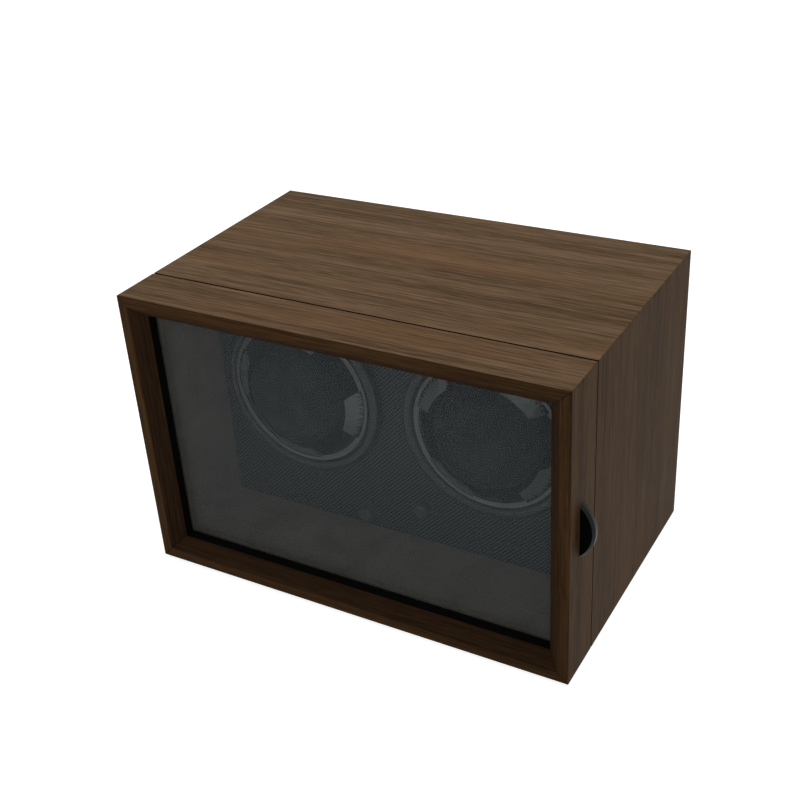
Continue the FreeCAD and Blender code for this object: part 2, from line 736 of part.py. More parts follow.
for hand in HANDS:
    motor_start = f"{plate_front} - motor_length"
    motor = turned(f"{hand}_motor_can", motor_outline, motor_x[hand], motor_start, motor_z)
    own_screws = [screw for screw in motor_screws if screw.Name.startswith(hand)]
    keep(cut(f"{hand}_motor_drilled", motor, own_screws), f"{hand}_motor")
    seat = f"{plate_front} + motor_boss - motor_shaft_seat + thrust_play"
    drive_length = f"{pulley_front} + {pulley_width} - ({seat})"
    drive_start = (motor_x[hand], seat, motor_z)
    spindle = rod(f"{hand}_spindle", "motor_shaft_diameter", drive_length, drive_start, ALONG_Y)
    keep(spindle, f"{hand}_motor_shaft")
    outline = pulley_outline("drive_pulley_diameter", "motor_shaft_diameter")
    keep(turned(f"{hand}_small_wheel", outline, motor_x[hand], pulley_front, motor_z), f"{hand}_drive_pulley")
    belt = doc.addObject("Part::Feature", f"{hand}_loop")
    belt.Shape = belt_shape(hand)
    belt_y = number(f"{pulley_front} + {pulley_width} / 2")
    belt.Placement = Placement(Vector(0, belt_y, 0), Rotation())
    keep(belt, f"{hand}_belt")

# Two push buttons, their switches and the circuit board behind the baffle
switch_front = f"({baffle_rear} + button_seat_gap + button_flange + button_travel + switch_gap)"
board_front = f"({switch_front} + switch_height)"
flange_at = "(button_proud + baffle_thick + button_seat_gap)"
stem_end = f"({flange_at} + button_flange + button_travel + switch_gap + stem_entry)"
button_outline = [
    ("0", "0"),
    ("button_diameter / 2 - button_edge", "0"),
    ("button_diameter / 2", "button_edge"),
    ("button_diameter / 2", flange_at),
    ("button_flange_diameter / 2", flange_at),
    ("button_flange_diameter / 2", f"{flange_at} + button_flange"),
    ("stem_diameter / 2", f"{flange_at} + button_flange"),
    ("stem_diameter / 2", stem_end),
    ("0", stem_end),
]
switches = []
for hand, (x, z) in buttons.items():
    keep(turned(f"{hand}_key", button_outline, x, f"{baffle_front} - button_proud", z), f"{hand}_button")
    half = "switch_side / 2"
    housing = block(f"{hand}_switch_housing", (f"{x} - {half}", f"{x} + {half}"),
                    (switch_front, board_front), (f"{z} - {half}", f"{z} + {half}"))
    guide_start = (x, f"{switch_front} - overcut", z)
    guide = rod(f"{hand}_guide", "stem_diameter + 2 * button_play",
                "switch_height - switch_floor + overcut", guide_start, ALONG_Y)
    switches.append(cut(f"{hand}_switch", housing, [guide]))
keep(group("switch_pair", switches), "button_switches")

board_x = ("button_left_offset - board_margin", "button_right_offset + board_margin")
board_z = ("button_left_height - board_rise", "button_right_height + board_rise")
post_rise = f"({board_front} - {baffle_rear})"
post_outline = [
    ("0", "0"),
    ("post_diameter / 2", "0"),
    ("post_diameter / 2", post_rise),
    ("post_pin_diameter / 2", post_rise),
    ("post_pin_diameter / 2", f"{post_rise} + circuit_thick"),
    ("post_head_diameter / 2", f"{post_rise} + circuit_thick"),
    ("post_head_diameter / 2", f"{post_rise} + circuit_thick + post_head"),
    ("0", f"{post_rise} + circuit_thick + post_head"),
]
post_columns = {"left": f"{board_x[0]} + post_inset", "right": f"{board_x[1]} - post_inset"}
post_rows = {"lower": f"{board_z[0]} + post_inset", "upper": f"{board_z[1]} - post_inset"}
posts = []
post_holes = []
for column, x in post_columns.items():
    for row, z in post_rows.items():
        posts.append(turned(f"{column}_{row}_post", post_outline, x, baffle_rear, z))
        hole_at = (x, f"{board_front} - overcut", z)
        length = "circuit_thick + 2 * overcut"
        hole = rod(f"{column}_{row}_post_hole", "post_pin_diameter", length, hole_at, ALONG_Y)
        post_holes.append(hole)
keep(group("post_set", posts), "board_posts")
circuit = block("circuit", board_x, (board_front, f"{board_front} + circuit_thick"), board_z)
keep(cut("circuit_drilled", circuit, post_holes), "control_board")

# Power inlet, its nut, its lead, the motors' leads, and the bumpers on the rear edges
jack_length = "(jack_inside + back_thick)"
jack_end = f"({jack_length} + jack_flange)"
jack_outline = [
    ("0", "0"),
    ("jack_diameter / 2", "0"),
    ("jack_diameter / 2", jack_length),
    ("jack_flange_diameter / 2", jack_length),
    ("jack_flange_diameter / 2", jack_end),
    ("jack_bore / 2", jack_end),
    ("jack_bore / 2", f"{jack_end} - jack_bore_depth"),
    ("jack_pin_diameter / 2", f"{jack_end} - jack_bore_depth"),
    ("jack_pin_diameter / 2", jack_length),
    ("0", jack_length),
]
jack_start = f"{rear} - {jack_length}"
keep(turned("jack", jack_outline, "jack_offset", jack_start, "jack_height"), "dc_jack")
board_rear = f"({board_front} + circuit_thick)"
power_start = ("jack_offset", board_rear, "jack_height")
power_lead = rod("power_lead", "lead_diameter", f"{jack_start} - {board_rear}", power_start, ALONG_Y)


def motor_lead(hand):
    """A lead that leaves the circuit board, turns up between the cups and ends under a motor."""
    x = number("lead_offset") * (1 if hand == "right" else -1)
    radius = number("lead_diameter / 2")
    bend = number("lead_bend")
    start = Vector(x, number(board_rear), number("jack_height"))
    turn_y = start.y + number("lead_drop")
    reach = abs(number(motor_x[hand])) - number("lead_offset") - radius
    under = number(motor_z) - math.sqrt(number("motor_diameter / 2") ** 2 - reach ** 2)
    corner_in = Vector(x, turn_y - bend, start.z)
    corner_mid = Vector(x, turn_y - bend + bend * math.sqrt(0.5), start.z + bend - bend * math.sqrt(0.5))
    corner_out = Vector(x, turn_y, start.z + bend)
    route = Part.Wire([
        Part.LineSegment(start, corner_in).toShape(),
        Part.Arc(corner_in, corner_mid, corner_out).toShape(),
        Part.LineSegment(corner_out, Vector(x, turn_y, under)).toShape(),
    ])
    section = Part.Wire([Part.Circle(start, AXIS_Y, radius).toShape()])
    lead = doc.addObject("Part::Feature", f"{hand}_motor_lead")
    lead.Shape = route.makePipeShell([section], True, False)
    return lead


keep(group("lead_set", [power_lead] + [motor_lead(hand) for hand in HANDS]), "wiring")
nut = doc.addObject("Part::Prism", "nut_blank")
nut.Polygon = HEX_SIDES
bind(nut, Circumradius="jack_nut_across / 2 / cos(30 deg)", Height="jack_nut_thick")
place(nut, "jack_offset", f"{rear} - back_thick - jack_nut_thick", "jack_height", ALONG_Y)
nut_hole_start = ("jack_offset", f"{rear} - back_thick - jack_nut_thick - overcut", "jack_height")
nut_hole = rod("nut_hole", "jack_diameter", "jack_nut_thick + 2 * overcut", nut_hole_start, ALONG_Y)
keep(cut("nut", nut, [nut_hole]), "dc_jack_nut")

bumper_outline = [
    ("0", "0"),
    ("bumper_diameter / 2", "0"),
    ("bumper_diameter / 2", "bumper_height - bumper_edge"),
    ("bumper_diameter / 2 - bumper_edge", "bumper_height"),
    ("0", "bumper_height"),
]
bumper_x = f"({side} - bumper_inset)"
bumpers = [
    turned(f"{hand}_bumper", bumper_outline, f"{sign}{bumper_x}", rear, "bumper_level")
    for hand, sign in (("left", "-"), ("right", ""))
]
keep(group("bumper_pair", bumpers), "rear_bumpers")

# Door: a mitred frame with a bevel round the window, the glass and what holds it
rebate_half = f"({inner_side} + surround_thick)"
rebate_z = (f"{inner_bottom} - surround_thick", f"{inner_top} + surround_thick")
bevel = doc.addObject("Part::Wedge", "window_bevel")
bind(bevel, Ymin="0", Ymax="bevel_depth",
     Xmin=f"-({inner_side} + bevel_width)", Xmax=f"{inner_side} + bevel_width",
     Zmin=f"{inner_bottom} - bevel_width", Zmax=f"{inner_top} + bevel_width",
     X2min=f"-{inner_side}", X2max=inner_side, Z2min=inner_bottom, Z2max=inner_top)
place(bevel, "0", front, "0")
rebate_y = (f"{front} + bevel_depth", door_rear)
rebate = block("window_rebate", both(rebate_half), rebate_y, rebate_z)

pull_outline = [
    ("0", "0"),
    ("pull_radius - pull_bevel", "0"),
    ("pull_radius", "pull_bevel"),
    ("pull_radius", "pull_thick - pull_bevel"),
    ("pull_radius - pull_bevel", "pull_thick"),
    ("0", "pull_thick"),
]
pull_x = f"({side} + pull_reach - pull_radius)"
pull_level = f"({middle_z} + pull_rise)"
pull_disc = turned("pull_disc", pull_outline, pull_x, f"{front} + pull_setback", pull_level)
pull_y = (front, door_rear)
pull_z = (f"{pull_level} - pull_radius", f"{pull_level} + pull_radius")
pull_space = block("pull_space", (f"{side} - pull_tongue", f"{side} + pull_reach"), pull_y, pull_z)
pull = shared("half_moon", [pull_disc, pull_space])

rail_cuts = {"top": [], "bottom": [], "left": leaf_recesses["door"] + hinge_screws["door"],
             "right": magnets["door"] + [pull]}
rail_names = {"top": "door_top_rail", "bottom": "door_bottom_rail",
              "left": "door_left_stile", "right": "door_right_stile"}
for which, extra in rail_cuts.items():
    rail = mitred_board(f"{which}_rail", which, front, "door_depth")
    keep(cut(f"{which}_rail_cut", rail, [bevel, rebate] + extra), rail_names[which])
keep(pull, "door_pull")
keep(group("door_magnet_pair", magnets["door"]), "door_magnets")
keep(group("case_magnet_pair", magnets["case"]), "case_magnets")

glass_front = f"({front} + glass_setback)"
glass_rear = f"({glass_front} + glass_thick)"


def window_frame(name, thick, start, end):
    """A frame that lines the rebate of the door with walls of one thickness."""
    outer = block(f"{name}_outer", both(rebate_half), (start, end), rebate_z)
    inner_z = (f"{rebate_z[0]} + {thick}", f"{rebate_z[1]} - {thick}")
    inner_y = (f"{start} - overcut", f"{end} + overcut")
    inner = block(f"{name}_inner", both(f"{rebate_half} - {thick}"), inner_y, inner_z)
    return cut(name, outer, [inner])


keep(window_frame("surround", "surround_thick", rebate_y[0], glass_front), "glass_surround")
pane_z = (f"{rebate_z[0]} + glass_play", f"{rebate_z[1]} - glass_play")
pane = block("pane", both(f"{rebate_half} - glass_play"), (glass_front, glass_rear), pane_z)
keep(pane, "window_glass")
retainer_rear = f"{door_rear} - retainer_setback"
keep(window_frame("retainer", "retainer_thick", glass_rear, retainer_rear), "glass_retainer")

keep(group("case_leaf_pair", hinge_leaves["case"]), "case_hinge_leaves")
keep(group("door_leaf_pair", hinge_leaves["door"]), "door_hinge_leaves")
keep(group("hinge_pin_pair", hinge_pins), "hinge_pins")
keep(group("case_leaf_screws", hinge_screws["case"]), "case_hinge_screws")
keep(group("door_leaf_screws", hinge_screws["door"]), "door_hinge_screws")

doc.recompute()
for item in doc.Objects:
    if {"Invalid", "Error"} & set(item.State):
        raise RuntimeError(f"{item.Label} failed: {item.State}")
for piece in subparts:
    if piece.Shape.isNull() or not piece.Shape.isValid() or not piece.Shape.Solids:
        raise RuntimeError(f"{piece.Label} has no sound shape")

os.makedirs("parts", exist_ok=True)
for piece in subparts:
    piece.Shape.exportStep(f"parts/{piece.Label}.step")
    print(f"{piece.Label}: {len(piece.Shape.Solids)} solid(s), {piece.Shape.Volume:.1f} mm3")
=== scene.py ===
import json
import math

import bmesh
import bpy
from mathutils import Matrix, Vector


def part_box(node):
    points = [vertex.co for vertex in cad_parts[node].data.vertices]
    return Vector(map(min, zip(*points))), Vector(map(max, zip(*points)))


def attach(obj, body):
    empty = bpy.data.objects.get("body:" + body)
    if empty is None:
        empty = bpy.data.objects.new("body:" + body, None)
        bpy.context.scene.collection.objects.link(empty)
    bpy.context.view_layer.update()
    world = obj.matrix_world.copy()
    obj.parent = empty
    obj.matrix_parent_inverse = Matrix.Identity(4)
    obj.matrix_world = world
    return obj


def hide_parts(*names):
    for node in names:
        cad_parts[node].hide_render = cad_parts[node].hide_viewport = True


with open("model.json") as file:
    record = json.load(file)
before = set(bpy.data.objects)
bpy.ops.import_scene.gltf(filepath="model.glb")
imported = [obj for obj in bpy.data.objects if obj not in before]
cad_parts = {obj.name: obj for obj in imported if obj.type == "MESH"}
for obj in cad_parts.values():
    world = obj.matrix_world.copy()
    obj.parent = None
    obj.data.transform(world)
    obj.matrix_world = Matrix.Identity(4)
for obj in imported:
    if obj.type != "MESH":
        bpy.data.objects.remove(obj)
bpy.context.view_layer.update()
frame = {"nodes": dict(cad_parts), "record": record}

MM = 0.001
UP = Vector((0, 0, 1))
GRAIN_ACROSS = 0
GRAIN_UPRIGHT = 2

nodes = frame["nodes"]
body_of_node = {
    node: body
    for body, members in frame["record"]["behaviour"]["bodies"].items()
    for node in members
}
slot_of_node = {part["node"]: part["material_slot"] for part in frame["record"]["subparts"]}


def tint(code):
    """A written colour such as 5c4937, as the linear colour that shaders use."""
    channels = [int(code[start:start + 2], 16) / 255 for start in (0, 2, 4)]
    linear = [c / 12.92 if c <= 0.04045 else ((c + 0.055) / 1.055) ** 2.4 for c in channels]
    return (*linear, 1)


class Shade:
    """A shader socket; arithmetic on it adds Math nodes."""

    def __init__(self, graph, socket):
        self.graph = graph
        self.socket = socket

    def maths(self, operation, *values):
        return self.graph.node("ShaderNodeMath", {"operation": operation}, dict(enumerate(values)))

    def __add__(self, other):
        return self.maths("ADD", self, other)

    def __radd__(self, other):
        return self.maths("ADD", other, self)

    def __sub__(self, other):
        return self.maths("SUBTRACT", self, other)

    def __rsub__(self, other):
        return self.maths("SUBTRACT", other, self)

    def __mul__(self, other):
        return self.maths("MULTIPLY", self, other)

    def __rmul__(self, other):
        return self.maths("MULTIPLY", other, self)

    def __abs__(self):
        return self.maths("ABSOLUTE", self)

    def between(self, low, high):
        """0 below low, 1 above high and even between them."""
        ends = {"Value": self, "From Min": low, "From Max": high}
        return self.graph.node("ShaderNodeMapRange", {"clamp": True}, ends)


class Graph:
    """A node tree, and the one way in which nodes are added to it."""

    def __init__(self, tree):
        self.tree = tree

    def feed(self, socket, value):
        if isinstance(value, Shade):
            self.tree.links.new(value.socket, socket)
        else:
            socket.default_value = value

    def node(self, kind, settings, inputs, output=0):
        made = self.tree.nodes.new(kind)
        for setting, value in settings.items():
            setattr(made, setting, value)
        for socket, value in inputs.items():
            self.feed(made.inputs[socket], value)
        return Shade(self, made.outputs[output])


class Finish(Graph):
    """A material with one Principled shader and the nodes that feed it."""

    def __init__(self, name, constants):
        self.material = bpy.data.materials.new(name)
        self.material.use_nodes = True
        super().__init__(self.material.node_tree)
        self.shader = self.tree.nodes["Principled BSDF"]
        for socket, value in constants.items():
            self.feed(self.shader.inputs[socket], value)

    def spot(self, scale, turn=(0, 0, 0), shift=(0, 0, 0)):
        """Object coordinates, scaled, turned and shifted."""
        place = self.node("ShaderNodeTexCoord", {}, {}, "Object")
        moves = {"Vector": place, "Location": shift, "Rotation": turn, "Scale": scale}
        return self.node("ShaderNodeMapping", {}, moves)

    def noise(self, where, detail=2.0, roughness=0.5, distortion=0.0):
        looks = {"Vector": where, "Scale": 1, "Detail": detail}
        looks |= {"Roughness": roughness, "Distortion": distortion}
        return self.node("ShaderNodeTexNoise", {}, looks)

    def blend(self, amount, first, second):
        return self.node("ShaderNodeMix", {"data_type": "RGBA"}, {0: amount, 6: first, 7: second}, 2)

    def show(self, **values):
        for socket, value in values.items():
            self.feed(self.shader.inputs[socket.replace("_", " ")], value)

    def raise_surface(self, height, distance):
        bump = {"Strength": 1, "Distance": distance, "Height": height}
        self.show(Normal=self.node("ShaderNodeBump", {}, bump))


def even(size):
    """Scale for a pattern with features of one size."""
    return (1 / size,) * 3


def along_grain(axis, length, width):
    """Scale for a pattern that is long on one axis and narrow on the others."""
    scale = [1 / width] * 3
    scale[axis] = 1 / length
    return tuple(scale)


# Wood film: broad tone bands, short streaks and fibres, dark lines, reddish patches and pores
WALNUT_LINE = "2c1e13"


def walnut(name, axis, shift, dark, light, red):
    finish = Finish(name, {"Specular IOR Level": 0.02})
    bands = finish.noise(finish.spot(along_grain(axis, 320 * MM, 15 * MM), shift=shift), 2, 0.5, 0.3)
    streaks = finish.noise(finish.spot(along_grain(axis, 75 * MM, 1.5 * MM), shift=shift), 3, 0.6)
    fibres = finish.noise(finish.spot(along_grain(axis, 15 * MM, 0.8 * MM), shift=shift), 2, 0.6)
    patches = finish.noise(finish.spot(along_grain(axis, 260 * MM, 34 * MM), shift=shift), 1)
    lines = finish.noise(finish.spot(along_grain(axis, 110 * MM, 1.3 * MM), shift=shift), 1)
    pores = finish.noise(finish.spot(along_grain(axis, 14 * MM, 0.6 * MM), shift=shift), 1)
    tone = 0.32 * bands + 0.34 * streaks + 0.34 * fibres
    colour = finish.blend(tone.between(0.39, 0.61), tint(dark), tint(light))
    colour = finish.blend(0.5 * patches.between(0.5, 0.72), colour, tint(red))
    depth = 0.65 * lines.between(0.58, 0.7) + 0.35 * pores.between(0.6, 0.74)
    colour = finish.blend(0.65 * depth, colour, tint(WALNUT_LINE))
    finish.show(Base_Color=colour, Roughness=0.48 + 0.14 * streaks)
    finish.raise_surface(0.3 * fibres - depth, 0.03 * MM)
    return finish.material


# Linings: short pile with brushed marks
def pile(name, plain, marked, mark_size):
    finish = Finish(name, {"Sheen Weight": 0.2, "Sheen Roughness": 0.5, "Specular IOR Level": 0.08})
    hairs = finish.noise(finish.spot(even(0.9 * MM)), 2, 0.6)
    marks = finish.noise(finish.spot(even(mark_size)), 3, 0.55, 0.8)
    shade = finish.blend(marks.between(0.35, 0.68), tint(plain), tint(marked))
    colour = finish.blend(0.22 * hairs, shade, tint("101010"))
    finish.show(Base_Color=colour, Roughness=0.8 + 0.2 * hairs)
    finish.raise_surface(hairs, 0.04 * MM)
    return finish.material


# Baffle: a film with a cross weave laid at 45 degrees
def woven_film():
    finish = Finish("woven film", {"Specular IOR Level": 0.25})
    pitch = 1.7 * MM
    where = finish.spot(even(pitch), turn=(0, math.radians(45), 0))
    rows = finish.node("ShaderNodeSeparateXYZ", {}, {"Vector": where}, "X")
    columns = finish.node("ShaderNodeSeparateXYZ", {}, {"Vector": where}, "Z")
    across = abs(rows.maths("SINE", rows * math.pi))
    upright = abs(columns.maths("SINE", columns * math.pi))
    strands = (1 - across.maths("MINIMUM", across, upright)).between(0.4, 0.8)
    colour = finish.blend(strands, tint("0f1415"), tint("636d6f"))
    finish.show(Base_Color=colour, Roughness=0.5 - 0.15 * strands)
    finish.raise_surface(strands, 0.02 * MM)
    return finish.material


# Moulded or painted pieces: a skin texture that changes the gloss a little
def moulded(name, plain, worn, gloss, skin, shine=0.3):
    finish = Finish(name, {"Specular IOR Level": shine})
    grain = finish.noise(finish.spot(even(skin)), 3, 0.6)
    cast = finish.noise(finish.spot(even(25 * MM)), 2)
    colour = finish.blend(0.5 * cast, tint(plain), tint(worn))
    finish.show(Base_Color=colour, Roughness=gloss + 0.15 * grain)
    finish.raise_surface(grain, 0.01 * MM)
    return finish.material


# Clear plastic: rims and petals, with faint flow marks from the mould
def clear_plastic(name, colour, clearness):
    looks = {"Base Color": tint(colour), "Transmission Weight": clearness, "IOR": 1.49}
    finish = Finish(name, looks)
    flow = finish.noise(finish.spot(even(9 * MM)), 2, 0.5, 1.0)
    finish.show(Roughness=0.02 + 0.08 * flow)
    finish.raise_surface(flow, 0.06 * MM)
    return finish.material


# Window: glass with an even grey haze, which is a painted reflection, a weak mirror and wiped marks
def window_glass():
    # The grey base colour at part alpha is a painted reflection veil over the window
    looks = {"Base Color": tint("596164"), "Alpha": 0.3, "Specular IOR Level": 0.14}
    finish = Finish("window glass", looks)
    strokes = (1 / (60 * MM), 1 / (60 * MM), 1 / (14 * MM))
    wiped = finish.noise(finish.spot(strokes, turn=(0, 0.5, 0)), 3)
    finish.show(Roughness=0.02 + 0.05 * wiped)
    finish.material.surface_render_method = "BLENDED"
    return finish.material


# Metals: brushed along one axis
def brushed(name, bright, dull, axis, gloss):
    finish = Finish(name, {"Metallic": 1})
    lines = finish.noise(finish.spot(along_grain(axis, 8 * MM, 0.25 * MM)), 3, 0.6)
    cast = finish.noise(finish.spot(even(6 * MM)), 2)
    colour = finish.blend(cast, tint(bright), tint(dull))
    finish.show(Base_Color=colour, Roughness=gloss + 0.2 * lines)
    finish.raise_surface(lines, 0.01 * MM)
    return finish.material


# Pressed board: pale fibres in all directions
def fibreboard(name, plain, chip):
    finish = Finish(name, {"Specular IOR Level": 0.2})
    chips = finish.noise(finish.spot(even(1.4 * MM)), 4, 0.65, 0.6)
    colour = finish.blend(chips.between(0.35, 0.7), tint(plain), tint(chip))
    finish.show(Base_Color=colour, Roughness=0.7 + 0.2 * chips)
    finish.raise_surface(chips, 0.06 * MM)
    return finish.material


# Circuit board: solder mask over a faint ground hatch
def circuit_board():
    finish = Finish("circuit board", {"Coat Weight": 0.4})
    tracks = finish.noise(finish.spot(even(2.2 * MM)), 0, 0.5)
    colour = finish.blend(tracks.between(0.48, 0.52), tint("123f27"), tint("1d5a38"))
    finish.show(Base_Color=colour, Roughness=0.35 + 0.1 * tracks)
    return finish.material


# Pillow covers: smooth dark cloth with soft dimples and a brushed nap
def pillow_cloth():
    finish = Finish("pillow cloth", {"Specular IOR Level": 0.05})
    dimples = finish.noise(finish.spot(even(3.5 * MM)), 0)
    nap = finish.noise(finish.spot(even(15 * MM)), 1, 0.5, 0.5)
    shade = finish.blend(nap.between(0.35, 0.7), tint("3a4144"), tint("495154"))
    colour = finish.blend(0.07 * dimples, shade, tint("121515"))
    finish.show(Base_Color=colour, Roughness=0.75 + 0.2 * dimples)
    finish.raise_surface(dimples, 0.03 * MM)
    return finish.material


film_tones = {"dark": "483521", "light": "7b634b", "red": "6f4d32"}
# Upright boards: darker film tones, which are painted shade for sides that get less light
shaded_side_tones = {"dark": "302010", "light": "674e34", "red": "604025"}
# Door front and reveal: darker, redder copies of the film, painted shade for faces turned from the light
shaded_front_tones = {"dark": "3e2b19", "light": "64492f", "red": "5a3b22"}
shaded_reveal_tones = {"dark": "2c1d11", "light": "4a3625", "red": "452d1b"}
finishes = {
    "back_board": fibreboard("back board", "2b211a", "3a2d22"),
    "raw_board": fibreboard("raw fibreboard", "a58a66", "7d6748"),
    "lining_cloth": pile("lining cloth", "a39884", "b6aa95", 28 * MM),
    "base_cloth": pile("base felt", "1c1c1c", "262626", 9 * MM),
    "baffle_film": woven_film(),
    "bezel_black": moulded("bezel black", "2a3032", "343b3d", 0.22, 2.4 * MM, 0.6),
    "rotor_black": moulded("rotor black", "17191a", "202324", 0.5, 2.4 * MM),
    "clear_plastic": clear_plastic("clear rim", "868e90", 0.97),
    "pillow_cover": pillow_cloth(),
    "window": window_glass(),
    "surround_black": moulded("surround black", "070605", "0b0a09", 0.7, 0.6 * MM, 0.05),
    "pull_black": moulded("pull black", "030303", "060606", 0.6, 0.7 * MM, 0.02),
    "bright_steel": brushed("bright steel", "b9bcbe", "8f9294", 0, 0.22),
    "motor_steel": brushed("motor steel", "a2a5a6", "7b7e80", 1, 0.3),
    "hinge_brass": brushed("hinge brass", "b89a5a", "8d713c", 2, 0.25),
    "belt_rubber": moulded("belt rubber", "141414", "1e1e1e", 0.65, 0.3 * MM),
    "circuit_green": circuit_board(),
}

# Finishes of single faces, beside the ones that belong to a slot
# Near-black painted shade on the board faces inside the door seam, so that the seam reads dark
seam_painted_shade = moulded("seam painted shade", "0d0906", "140e0a", 0.7, 0.8 * MM, 0.02)
# Petals paler and less clear than the rim: painted light, as they are the same plastic
lit_petal_plastic = clear_plastic("clear lit petals", "d6dddd", 0.62)
# Paler, glossier edge of the pull: a painted highlight
pull_lit_edge = moulded("pull lit edge", "0f0f0e", "191817", 0.36, 0.7 * MM, 0.16)
# Buttons lighter than the black bezels: painted light on them
lit_button_grey = moulded("button lit grey", "596164", "687073", 0.3, 0.7 * MM, 0.6)

# Boards: the axis of the grain, and a shift that gives each its own figure
boards = {
    "case_top": (GRAIN_ACROSS, (3.1, 0.4, 1.7)),
    "case_bottom": (GRAIN_ACROSS, (8.2, 5.3, 0.6)),
    "case_left": (GRAIN_UPRIGHT, (1.3, 7.7, 2.2)),
    "case_right": (GRAIN_UPRIGHT, (6.4, 2.9, 4.1)),
    "door_top_rail": (GRAIN_ACROSS, (2.2, 9.5, 3.3)),
    "door_bottom_rail": (GRAIN_ACROSS, (5.6, 1.8, 7.4)),
    "door_left_stile": (GRAIN_UPRIGHT, (9.1, 4.4, 5.0)),
    "door_right_stile": (GRAIN_UPRIGHT, (0.7, 6.1, 8.8)),
}

# Rounding of hard edges, by slot
HARD_EDGE = math.radians(30)
edge_radius = {
    "walnut": 0.35 * MM,
    "back_board": 0.4 * MM,
    "raw_board": 0.4 * MM,
    "lining_cloth": 0.3 * MM,
    "surround_black": 0.3 * MM,
    "clear_plastic": 0.45 * MM,
    "window": 0.25 * MM,
    "pull_black": 0.2 * MM,
    "bezel_black": 0.25 * MM,
}


def new_piece(name, shape):
    mesh = bpy.data.meshes.new(name)
    shape.to_mesh(mesh)
    shape.free()
    piece = bpy.data.objects.new(name, mesh)
    bpy.context.scene.collection.objects.link(piece)
    return piece


def whole_shape(node):
    """A copy of a node's mesh with its loose triangles merged and its flat faces made whole."""
    shape = bmesh.new()
    shape.from_mesh(nodes[node].data)
    bmesh.ops.remove_doubles(shape, verts=shape.verts, dist=0.002 * MM)
    flat = math.radians(0.05)
    bmesh.ops.dissolve_limit(shape, angle_limit=flat, verts=shape.verts, edges=shape.edges)
    return shape


def shade_round(piece):
    """Smooth shading up to a hard edge, sharp past it."""
    with bpy.context.temp_override(object=piece, active_object=piece, selected_objects=[piece],
                                   selected_editable_objects=[piece]):
        bpy.ops.object.shade_smooth_by_angle(angle=HARD_EDGE)


def stand_in(piece, node):
    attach(piece, body_of_node[node])
    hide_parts(node)


def softened(node, radius):
    """The node with its hard edges rounded."""
    shape = whole_shape(node)
    hard = [
        edge for edge in shape.edges
        if len(edge.link_faces) == 2 and edge.calc_face_angle() > HARD_EDGE
    ]
    bmesh.ops.bevel(shape, geom=hard, offset=radius, offset_type="OFFSET", segments=2, profile=0.5,
                    affect="EDGES", clamp_overlap=True, material=-1)
    piece = new_piece(f"{node}_soft_edged", shape)
    shade_round(piece)
    level = piece.modifiers.new("Level faces", "WEIGHTED_NORMAL")
    level.keep_sharp = True
    stand_in(piece, node)
    return piece


# How far along y the normal of a face has to point for each kind of face
FACING = 0.9
FLAT_FRONT = 0.95
SLOPING = 0.3


def finish_board(node):
    """Film outside; darker films on the upright sides and on the door's front and reveal, which are
    painted shade; and painted shade on the faces inside the seam.
    """
    axis, shift = boards[node]
    on_door = node.startswith("door")
    piece = softened(node, edge_radius["walnut"])
    tones = film_tones if axis == GRAIN_ACROSS else shaded_side_tones
    piece.data.materials.append(walnut(f"{node} film", axis, shift, **tones))
    piece.data.materials.append(seam_painted_shade)
    if on_door:
        piece.data.materials.append(walnut(f"{node} front shaded film", axis, shift, **shaded_front_tones))
        piece.data.materials.append(walnut(f"{node} reveal shaded film", axis, shift, **shaded_reveal_tones))
    for face in piece.data.polygons:
        behind = face.normal.y if on_door else -face.normal.y
        # Faces that look into the seam get the painted shade
        if behind > FACING:
            face.material_index = 1
        # Flat front faces and sloping reveal faces of the door get the painted shade films
        elif on_door and behind < -FLAT_FRONT:
            face.material_index = 2
        elif on_door and behind < -SLOPING:
            face.material_index = 3


def finish_pull(node):
    """Black face, with a paler, glossier edge all round: a painted highlight on the rim."""
    piece = softened(node, edge_radius["pull_black"])
    piece.data.materials.append(finishes["pull_black"])
    piece.data.materials.append(pull_lit_edge)
    for face in piece.data.polygons:
        if face.normal.y > -FACING:
            face.material_index = 1


RIM_INNER = 37.5 * MM


def finish_clip_ring(node):
    """Clear rim, with petals in a paler, less clear plastic: painted light for the brightness the petals
    show.
    """
    piece = softened(node, edge_radius["clear_plastic"])
    low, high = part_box(node)
    middle = (Vector(low) + Vector(high)) / 2
    piece.data.materials.append(finishes["clear_plastic"])
    piece.data.materials.append(lit_petal_plastic)
    for face in piece.data.polygons:
        out = face.center - middle
        if math.hypot(out.x, out.z) < RIM_INNER:
            face.material_index = 1


WRAPPED_EDGE = 0.4 * MM
CASE_LINING_REACH = 0.6 * MM
DOOR_LINING_REACH = 0.3 * MM


def finish_lining(node, edge, reach):
    """Pile whose wrapped edge stands out towards the seam, so that no gap shows inside."""
    piece = softened(node, edge_radius["lining_cloth"])
    piece.data.materials.append(finishes["lining_cloth"])
    for vertex in piece.data.vertices:
        if abs(vertex.co.y - edge) < WRAPPED_EDGE:
            vertex.co.y += reach


clip_rings = ["left_clip_ring", "right_clip_ring"]
buttons = ["left_button", "right_button"]
bay_linings = ["lining_floor", "lining_ceiling", "side_linings"]
for node in boards:
    finish_board(node)
for node in clip_rings:
    finish_clip_ring(node)
finish_pull("door_pull")
for node in bay_linings:
    finish_lining(node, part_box(node)[0].y, -CASE_LINING_REACH)
finish_lining("glass_retainer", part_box("glass_retainer")[1].y, DOOR_LINING_REACH)
# The buttons take the lighter grey, painted light, in place of their black slot
for node in buttons:
    softened(node, edge_radius["bezel_black"]).data.materials.append(lit_button_grey)

